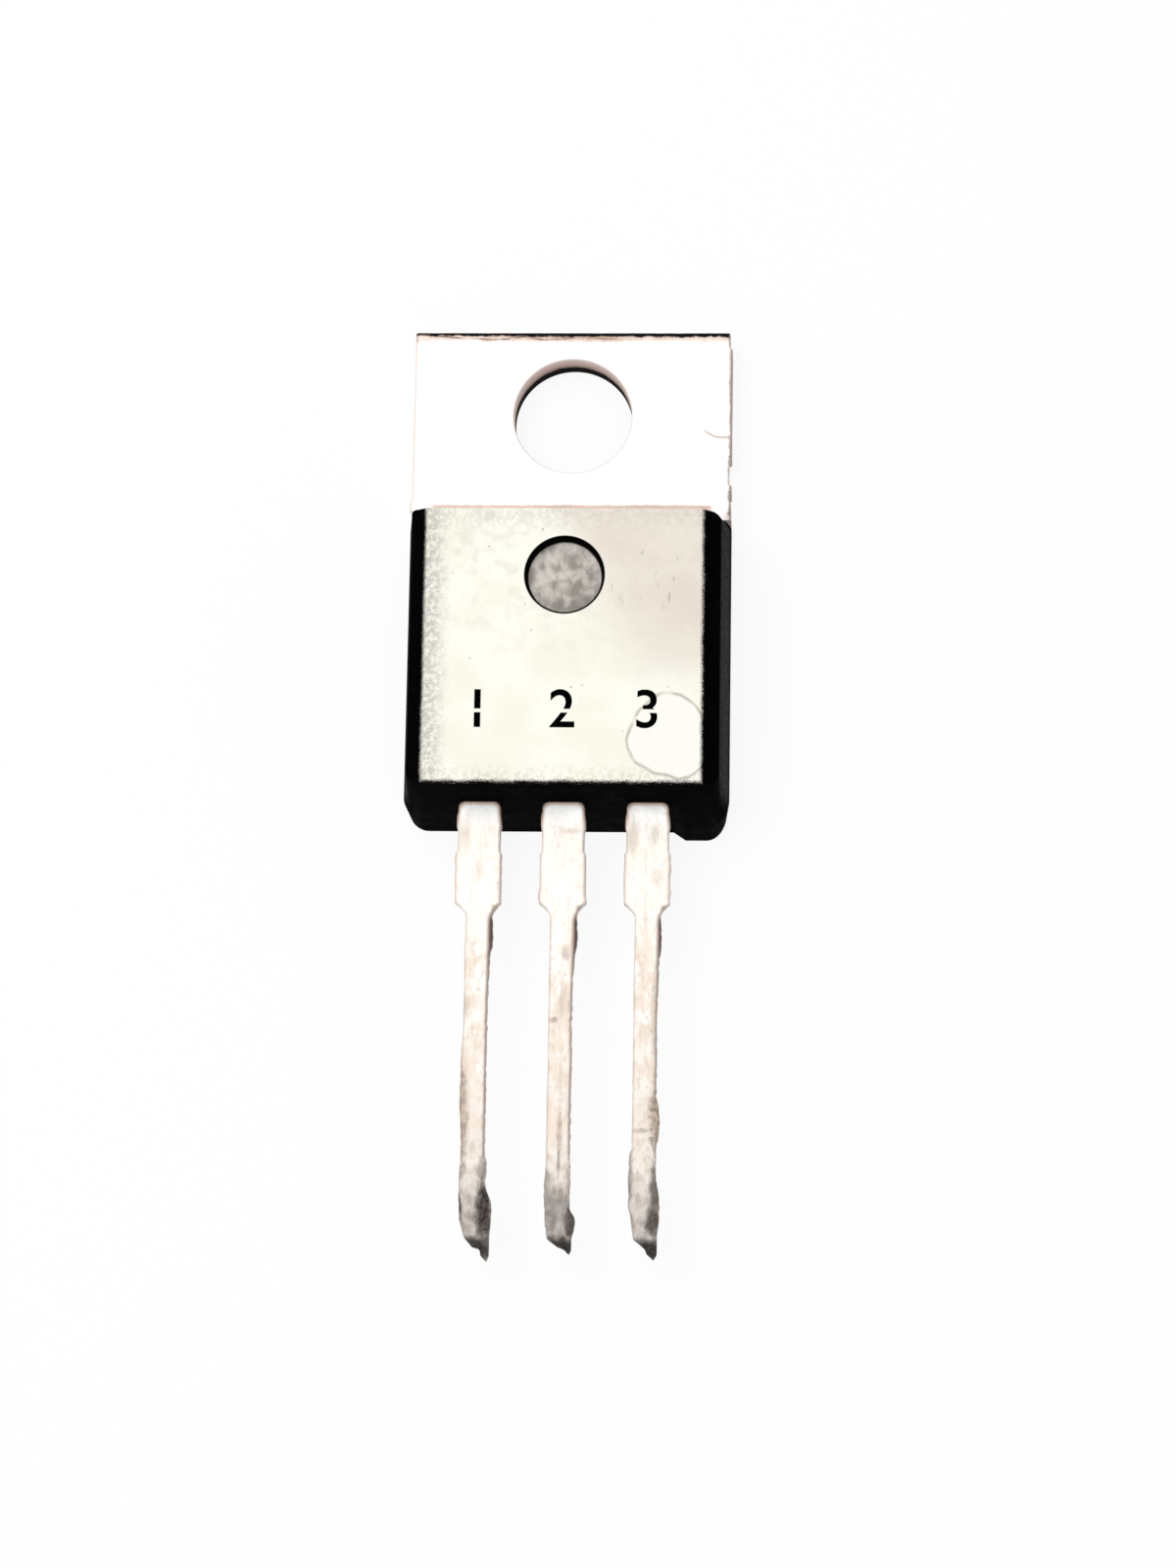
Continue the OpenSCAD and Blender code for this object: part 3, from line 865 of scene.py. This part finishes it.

# what sets each lead apart. Bulges: side, place along Y, reach, length.
# Dark patches: place across and along, half sizes, strength; the place across is from the lead's middle
# line.
leadMarks = {
    "baseLead": {
        "number": -1,
        "replaces": "base_lead",
        "slot": "lead_tin",
        "bulges": [(-1, -21.2, 0.05, 2.6), (1, -13.2, 0.04, 0.5), (-1, -13.2, 0.04, 0.5),
                   (-1, -14.4, 0.03, 0.3), (1, -16.5, 0.1, 1.3), (1, -17.3, 0.04, 1.4)],
        "darkPatches": [(-0.4, -13.6, 0.2, 0.6, 0.25), (0.05, -14.7, 0.12, 0.35, 0.3),
                   (-0.38, -22.1, 0.26, 1.7, 0.8), (-0.3, -18.9, 0.14, 0.5, 0.3),
                   (0.0, -23.1, 0.12, 0.2, 0.3)],
    },
    "middleLead": {
        "number": 0,
        "replaces": "tab_and_middle_lead",
        "slot": "plated_copper",
        "bulges": [(1, -13.2, 0.04, 0.5), (-1, -13.2, 0.04, 0.5), (-1, -15.5, 0.04, 0.3),
                   (1, -15.6, 0.04, 0.2), (1, -19.3, -0.03, 0.2), (1, -16.5, 0.1, 1.2),
                   (1, -17.2, 0.04, 1.2)],
        "darkPatches": [(0.25, -13.5, 0.28, 0.1, 0.35), (-0.2, -19.26, 0.14, 0.1, 0.7),
                   (0.14, -17.2, 0.14, 0.25, 0.5), (0.04, -18.6, 0.06, 0.6, 0.3),
                   (0.05, -20.9, 0.06, 0.9, 0.2), (0.04, -22.7, 0.09, 0.8, 0.6)],
    },
    "emitterLead": {
        "number": 1,
        "replaces": "emitter_lead",
        "slot": "lead_tin",
        "bulges": [(1, -13.2, 0.04, 0.5), (-1, -13.2, 0.04, 0.5), (1, -14.6, 0.03, 0.3),
                   (1, -15.3, 0.03, 0.15), (1, -22.2, 0.1, 1.15), (1, -16.6, 0.09, 1.3),
                   (1, -17.6, 0.03, 1.6)],
        "darkPatches": [(-0.45, -13.7, 0.2, 0.6, 0.4), (0.22, -13.6, 0.13, 0.3, 0.35),
                   (0.3, -14.9, 0.2, 0.3, 0.25), (0.3, -19.2, 0.14, 1.6, 0.5),
                   (0.37, -22.0, 0.24, 0.9, 1.0), (-0.1, -22.55, 0.32, 0.08, 0.6)],
    },
}


# how far bulges push an edge out at a place along the lead
def bulgeAt(y, side, bulges):
    return sum(reach * math.exp(-((y - place) / (length * 0.5)) ** 4)
               for bulgeSide, place, reach, length in bulges if bulgeSide == side)


# half width of a lead at a place along it; side is -1 or 1
def leadHalf(y, side, marks):
    shape = leadShape
    root, dam, slim = shape["rootWidth"] / 2, shape["damWidth"] / 2, shape["slimWidth"] / 2
    if y > shape["neckY"] and marks["number"]:
        return shape["padWidth"] / 2 + side * marks["number"] * shape["padShift"]
    half = between(y, shape["rootEndY"] - 0.06, shape["rootEndY"], dam, root)
    if y < shape["damEndY"]:
        left = between(y, shape["slopeEndY"], shape["damEndY"], 0, 1)
        half = slim + (dam - slim) * left ** shape["slopeCurve"]
    if y < common["tipY"] + shape["tipTaper"]:
        half -= shape["tipClip"] * between(y, common["tipY"], common["tipY"] + shape["tipTaper"], 1, 0)
    if y < common["exitY"] - 0.3:
        number = marks["number"] * 7 + side * 3
        slow = noise.noise(Vector((number, y * 0.9, 0)))
        quick = noise.noise(Vector((number, y * 4.2, 5)))
        half += shape["wander"] * (slow + 0.5 * quick)
        if side > 0 and y < shape["slopeEndY"]:
            half += shape["nibbled"] * noise.noise(Vector((number, y * 6.5, 11)))
        half += bulgeAt(y, side, marks["bulges"])
    return half


# how far the middle lead drops towards the header plate
def middleDrop(y, depth):
    shape = leadShape
    shift = common["leadThickness"] * math.tan(math.radians(shape["riseAngle"] / 2))
    y = y + shift * depth
    return -between(y, shape["riseEndY"], shape["riseStartY"], 0, leadHigh.z - common["tabThickness"])


def buildLead(marks):
    shape = leadShape
    thick, top = common["leadThickness"], leadHigh.z
    half = shape["rootWidth"] / 2
    innerY = shape["padEndY"] if marks["number"] else shape["riseInnerY"]
    bm = boxShape((-half, common["tipY"], top - thick), (half, innerY, top))
    bevelEdges(bm, bm.edges[:], shape["edgeRound"], steps=2)
    cutLoops(bm, "X", [share * half for share in (-0.7, -0.4, 0, 0.4, 0.7)])
    steps = round((innerY - common["tipY"]) / 0.08)
    places = [common["tipY"] + (number + 0.5) * 0.08 for number in range(steps)]
    kinks = [shape["rootEndY"], shape["rootEndY"] - 0.06, shape["damEndY"], shape["damEndY"] - 0.03,
             shape["slopeEndY"]]
    if marks["number"]:
        kinks += [shape["neckY"], shape["neckY"] + 0.005]
    else:
        shift = thick * math.tan(math.radians(shape["riseAngle"] / 2))
        rise = [shape["riseEndY"], shape["riseStartY"]]
        kinks += rise + [place - shift for place in rise]
    cutLoops(bm, "Y", places + kinks)
    rim = shape["edgeRound"]
    for vert in bm.verts:
        x, y, z = vert.co
        side = 1 if x > 0 else -1
        target = leadHalf(y, side, marks)
        if abs(x) > half - rim * 1.01:
            across = target - (half - abs(x))
        else:
            across = abs(x) / (half - rim) * (target - rim)
        depth = (top - z) / thick
        vert.co.x = side * across + marks["number"] * common["leadPitch"]
        if not marks["number"]:
            vert.co.z += middleDrop(y, depth)
        if y < common["exitY"] - 0.3:
            push = noise.noise(Vector((vert.co.x * 2.2, y * 1.3, marks["number"] + depth * 3)))
            vert.co.z += shape["relief"] * push * (1 if depth < 0.5 else -1)
    return bm


# the strongest of several soft-edged dark patches; places across are from the lead's middle line
def darkPatchShare(look, darkPatches, centreX, warp):
    share = 0.0
    for across, along, halfX, halfY, strength in darkPatches:
        away = look.around(centreX + across, along, halfX, halfY, warp)
        spot = look.math("MULTIPLY", look.step(away, 1.35, 0.4), strength)
        share = look.math("MAXIMUM", share, spot)
    return share


# tinned metal: cream white near the body, with brownish patches, painted shade along the edges and where
# it leaves the body, and duller towards the tips
def tinFinish(name, marks):
    look = Finish(name)
    centreX = marks["number"] * common["leadPitch"]
    patches = look.cloud(0.42, detail=4, stretch=(1, 1.7, 1), shift=centreX + 4)
    small = look.cloud(0.14, detail=4, stretch=(1, 1.5, 1), shift=centreX + 7)
    streaks = look.cloud(0.12, detail=3, stretch=(1, 10, 1), shift=centreX + 2)
    across = look.math("SUBTRACT", look.x, centreX)
    fromMiddle = look.math("ABSOLUTE", across)

    lower = look.step(look.y, -15.6, -18.0)
    shade = look.mix(lower, paint(238, 230, 220), paint(218, 203, 189))
    colour = look.mix(look.step(patches, 0.36, 0.64), shade, paint(251, 246, 239))
    mottle = look.math("MULTIPLY", look.step(small, 0.48, 0.72), look.blend(lower, 0.3, 0.6))
    colour = look.mix(mottle, colour, paint(204, 186, 171))
    drawn = look.math("MULTIPLY", look.step(streaks, 0.52, 0.72), 0.35)
    colour = look.mix(drawn, colour, paint(206, 192, 180))
    colour = look.mix(look.step(look.y, -13.5, -12.9), colour, paint(255, 254, 251))
    dulled = look.both(look.step(look.y, -18.5, -23.5), look.step(patches, 0.2, 0.6))
    colour = look.mix(look.math("MULTIPLY", dulled, 0.6), colour, paint(214, 203, 192))

    # painted shade along the edges, darker on the right, darkest on the right-hand bulge and the
    # shoulder corners
    leftLine = look.step(look.math("ADD", across, leadShape["slimWidth"] / 2), 0.09, 0.0)
    rightLine = look.step(look.math("SUBTRACT", leadShape["slimWidth"] / 2, across), 0.1, 0.0)
    slimPart = look.step(look.y, -15.9, -16.3)
    leftShade = look.math("MULTIPLY", look.both(leftLine, slimPart), 0.5)
    colour = look.mix(leftShade, colour, paint(216, 200, 190))
    rightShade = look.math("MULTIPLY", look.both(rightLine, slimPart), 0.75)
    colour = look.mix(rightShade, colour, paint(168, 146, 134))
    flareShade = look.both(look.step(across, 0.31, 0.42), slimPart, look.step(look.y, -18.4, -16.8))
    colour = look.mix(flareShade, colour, paint(92, 72, 64))
    wideEdge = look.both(look.step(fromMiddle, 0.56, 0.68), look.math("SUBTRACT", 1.0, slimPart))
    colour = look.mix(look.math("MULTIPLY", wideEdge, 0.65), colour, paint(212, 190, 178))
    corner = look.both(look.step(across, 0.36, 0.5), look.step(look.y, -15.72, -15.82),
                       look.step(look.y, -16.25, -16.1))
    colour = look.mix(look.math("MULTIPLY", corner, 0.7), colour, paint(160, 134, 120))

    warp = look.math("MULTIPLY", look.math("SUBTRACT", small, 0.5), 1.0)
    patched = darkPatchShare(look, marks["darkPatches"], centreX, warp)
    patchColour = look.mix(look.step(small, 0.3, 0.7), paint(128, 112, 102), paint(190, 172, 154))
    patchColour = look.mix(look.step(look.y, -16.6, -15.6), patchColour, paint(176, 152, 122))
    colour = look.mix(patched, colour, patchColour)

    # painted shade, brown then black, round the corners where the lead comes out of the plastic
    sideways = look.math("MAXIMUM", look.math("SUBTRACT", fromMiddle, 0.36), 0.0)
    inwards = look.math("MAXIMUM", look.math("ADD", look.y, -common["exitY"] + 0.3), 0.0)
    around = look.math("SQRT", look.math("ADD", look.math("MULTIPLY", sideways, sideways),
                                         look.math("MULTIPLY", inwards, inwards)))
    nearBody = look.step(look.y, -13.5, -13.0)
    colour = look.mix(look.both(look.step(around, 0.15, 0.3), nearBody), colour, paint(186, 156, 138))
    colour = look.mix(look.both(look.step(around, 0.29, 0.33), nearBody), colour, paint(14, 11, 10))

    look.bump(look.math("ADD", patches, look.math("MULTIPLY", small, 0.4)), 0.02)
    rough = look.blend(look.step(patches, 0.3, 0.7), 0.38, 0.55)
    return look.end(colour, rough, metal=0.15, gloss=0.25)


for name, marks in leadMarks.items():
    keepPiece(buildLead(marks), name, tinFinish(name + "Tin", marks), marks["replaces"])
print("leads done")


# old solder on the tips, each with a dark spur below that stands in for the tip's shadow

solderShape = {
    "coat": 0.045,            # above and below the lead; thinner at its sides
    "sideCoat": 0.015,
    "edgeRound": 0.13,
    "wander": 0.03,
    "cutHeight": 0.95,        # how far above the tip its left side starts to narrow
    "spurBend": 0.75,         # share of the spur's length that keeps its outer edge straight
    "spurShadow": 0.48,         # how far the spur's colour goes over to dark painted shadow
}

# bulges and dark patches as on the leads, the last patch being painted shadow over the spur, a dark
# point below the tip that stands in for the tip's shadow; the spur's ragged left edge runs from the tip
# to its point:
# share of its length, place across
solderMarks = {
    "baseTipSolder": {
        "number": -1,
        "replaces": "base_tip_solder",
        "length": 2.45,
        "bulges": [(1, -23.6, 0.08, 0.65), (1, -25.15, 0.22, 1.6), (-1, -24.2, 0.02, 1.0)],
        "spurLength": 0.69,
        "spurOuter": 0.54,
        "spurEdge": [(0, -0.2), (0.42, 0.06), (0.47, 0.27), (0.77, 0.3), (1, 0.46)],
        "darkPatches": [(-0.34, -23.0, 0.2, 1.1, 0.6), (-0.38, -24.9, 0.1, 0.5, 1.0),
                   (0.38, -25.0, 0.26, 1.0, 1.0), (0.3, -23.7, 0.16, 0.45, 0.45),
                   (0.05, -26.1, 0.7, 0.36, 1.0)],
        "dull": 0.55,
    },
    "middleTipSolder": {
        "number": 0,
        "replaces": "middle_tip_solder",
        "length": 2.8,
        "bulges": [(1, -25.4, 0.2, 0.8), (-1, -24.4, 0.03, 0.9)],
        "spurLength": 0.46,
        "spurOuter": 0.43,
        "spurEdge": [(0, -0.3), (0.2, -0.18), (0.58, 0.06), (0.65, 0.2), (1, 0.35)],
        "darkPatches": [(0.03, -23.2, 0.06, 1.0, 0.5), (-0.3, -24.5, 0.12, 0.9, 0.4),
                   (0.42, -25.3, 0.18, 0.6, 0.85), (0.0, -24.8, 0.3, 0.7, 0.3),
                   (0.1, -26.05, 0.7, 0.34, 1.0)],
        "dull": 0.65,
    },
    "emitterTipSolder": {
        "number": 1,
        "replaces": "emitter_tip_solder",
        "length": 3.1,
        "bulges": [(1, -22.6, 0.09, 0.5), (1, -24.95, 0.11, 1.6), (-1, -24.1, 0.08, 1.8)],
        "spurLength": 0.6,
        "spurOuter": 0.42,
        "spurEdge": [(0, -0.28), (0.25, -0.08), (0.5, 0.08), (0.68, 0.1), (1, 0.31)],
        "darkPatches": [(0.38, -22.75, 0.2, 0.5, 0.6), (0.36, -24.4, 0.2, 0.9, 0.8),
                   (0.3, -25.3, 0.26, 0.5, 0.9), (-0.42, -23.9, 0.14, 1.0, 0.5),
                   (-0.1, -22.6, 0.4, 0.07, 0.3), (0.1, -26.1, 0.6, 0.36, 1.0)],
        "dull": 0.35,
    },
}


# edge of the solder on one side at a place along Y, measured from the lead's middle line
def solderEdge(y, side, marks):
    shape = solderShape
    half = leadShape["slimWidth"] / 2 + shape["sideCoat"]
    startY = common["tipY"] + marks["length"]
    below = max(0, common["tipY"] - y) / marks["spurLength"]
    if below > 0:
        ragged = marks["spurEdge"]
        if side > 0:
            return between(below, shape["spurBend"], 1, marks["spurOuter"], ragged[-1][1] + 0.02)
        start, end = next(pair for pair in zip(ragged, ragged[1:]) if below <= pair[1][0] + 1e-4)
        return between(below, start[0], end[0], start[1], end[1])
    edge = half + bulgeAt(y, side, marks["bulges"]) - between(y, startY - 0.6, startY, 0, 0.04)
    edge += shape["wander"] * noise.noise(Vector((marks["number"] * 5 + side, y * 2.6, 0)))
    edge += shape["wander"] * 0.6 * noise.noise(Vector((marks["number"] * 5 + side, y * 7, 3)))
    near = between(y, common["tipY"], common["tipY"] + shape["cutHeight"], 1, 0) ** 2
    if side < 0:
        return -(edge + (-marks["spurEdge"][0][1] - edge) * near)
    return edge + (marks["spurOuter"] - edge) * near


def buildTipSolder(marks):
    shape = solderShape
    half = leadShape["slimWidth"] / 2 + shape["coat"]
    middleZ = leadHigh.z - common["leadThickness"] / 2
    thick = common["leadThickness"] / 2 + shape["coat"]
    startY = common["tipY"] + marks["length"]
    lowY = common["tipY"] - marks["spurLength"]
    bm = boxShape((-half, lowY, middleZ - thick), (half, startY, middleZ + thick))
    bevelEdges(bm, [edge for edge in bm.edges if abs(edge.verts[0].co.y - edge.verts[1].co.y) > 1],
               shape["edgeRound"], steps=3)
    cutLoops(bm, "X", [share * half for share in (-0.5, -0.25, 0, 0.25, 0.5)])
    cutLoops(bm, "Z", [middleZ + shift for shift in (-0.1, 0, 0.1)])
    cutLoops(bm, "Y", [lowY + 0.05 * (number + 0.5) for number in range(round((startY - lowY) / 0.05))])
    for vert in bm.verts:
        x, y, z = vert.co
        left, right = solderEdge(y, -1, marks), solderEdge(y, 1, marks)
        share = (x / half + 1) / 2
        below = max(0, common["tipY"] - y) / marks["spurLength"]
        sink = between(y, startY - 0.6, startY, 0, 0.06) + between(below, 0, 1, 0, thick * 0.75)
        swell = 0.02 * noise.noise(Vector((x * 4 + marks["number"] * 9, y * 2.8, z * 4)))
        reach = (z - middleZ) / thick
        vert.co.x = left + (right - left) * share + marks["number"] * common["leadPitch"]
        vert.co.y = y
        vert.co.z = middleZ + reach * (thick - sink + swell)
    return bm


# dull, lumpy solder: a lighter ridge along the middle, darker patches at the sides, and painted shadow
# over the spur at the end
def solderFinish(name, marks):
    look = Finish(name)
    centreX = marks["number"] * common["leadPitch"]
    patches = look.cloud(0.2, detail=5, stretch=(1, 1.7, 1), shift=centreX + 12, swirl=0.3)
    small = look.cloud(0.07, detail=3, stretch=(1, 1.4, 1), shift=centreX + 16)
    light = look.mix(look.step(patches, 0.32, 0.66), paint(214, 202, 191), paint(246, 238, 228))
    grey = look.mix(look.step(patches, 0.3, 0.7), paint(142, 133, 127), paint(198, 190, 184))
    lower = look.math("MULTIPLY", look.step(look.y, -23.4, -25.2), marks["dull"] + 0.3)
    colour = look.mix(lower, light, grey)
    warp = look.math("MULTIPLY", look.math("SUBTRACT", patches, 0.5), 1.1)
    patched = darkPatchShare(look, marks["darkPatches"], centreX, warp)
    dark = look.mix(look.step(small, 0.3, 0.7), paint(24, 20, 18), paint(86, 77, 72))
    colour = look.mix(patched, colour, dark)
    # painted shadow: the spur below the tip goes dark
    spurShadowMask = look.step(look.y, common["tipY"] + 0.06, common["tipY"] - 0.1)
    colour = look.mix(look.math("MULTIPLY", spurShadowMask, solderShape["spurShadow"]), colour, paint(40, 36, 34))
    look.bump(look.math("ADD", patches, look.math("MULTIPLY", small, 0.5)), 0.04)
    rough = look.blend(look.step(patches, 0.3, 0.7), 0.45, 0.7)
    return look.end(colour, rough, metal=0.15, gloss=0.2)


for name, marks in solderMarks.items():
    keepPiece(buildTipSolder(marks), name, solderFinish(name + "Metal", marks),
              marks["replaces"], sharpAngle=60)
print("solder done")


# pieces sealed in the body keep their CAD shape

def sealedFinish(name, dark, pale, size, metal, rough):
    look = Finish(name)
    patches = look.cloud(size, detail=3, shift=2.0)
    look.bump(patches, size * 0.05)
    return look.end(look.mix(patches, dark, pale), look.blend(patches, rough * 0.8, rough), metal=metal)


sealed = {
    "chip": sealedFinish("chipSilicon", paint(60, 66, 82), paint(92, 98, 116), 0.5, 0.3, 0.25),
    "chip_solder": sealedFinish("chipSolder", paint(150, 150, 152), paint(184, 184, 186), 0.2, 0.8, 0.5),
    "base_wire": sealedFinish("wireAluminium", paint(206, 206, 210), paint(230, 230, 232), 0.1, 0.9,
                              0.35),
}
sealed["emitter_wire"] = sealed["base_wire"]
for name, material in sealed.items():
    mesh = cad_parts[name].data
    mesh.materials.clear()
    mesh.materials.append(material)
print("sealed pieces done")
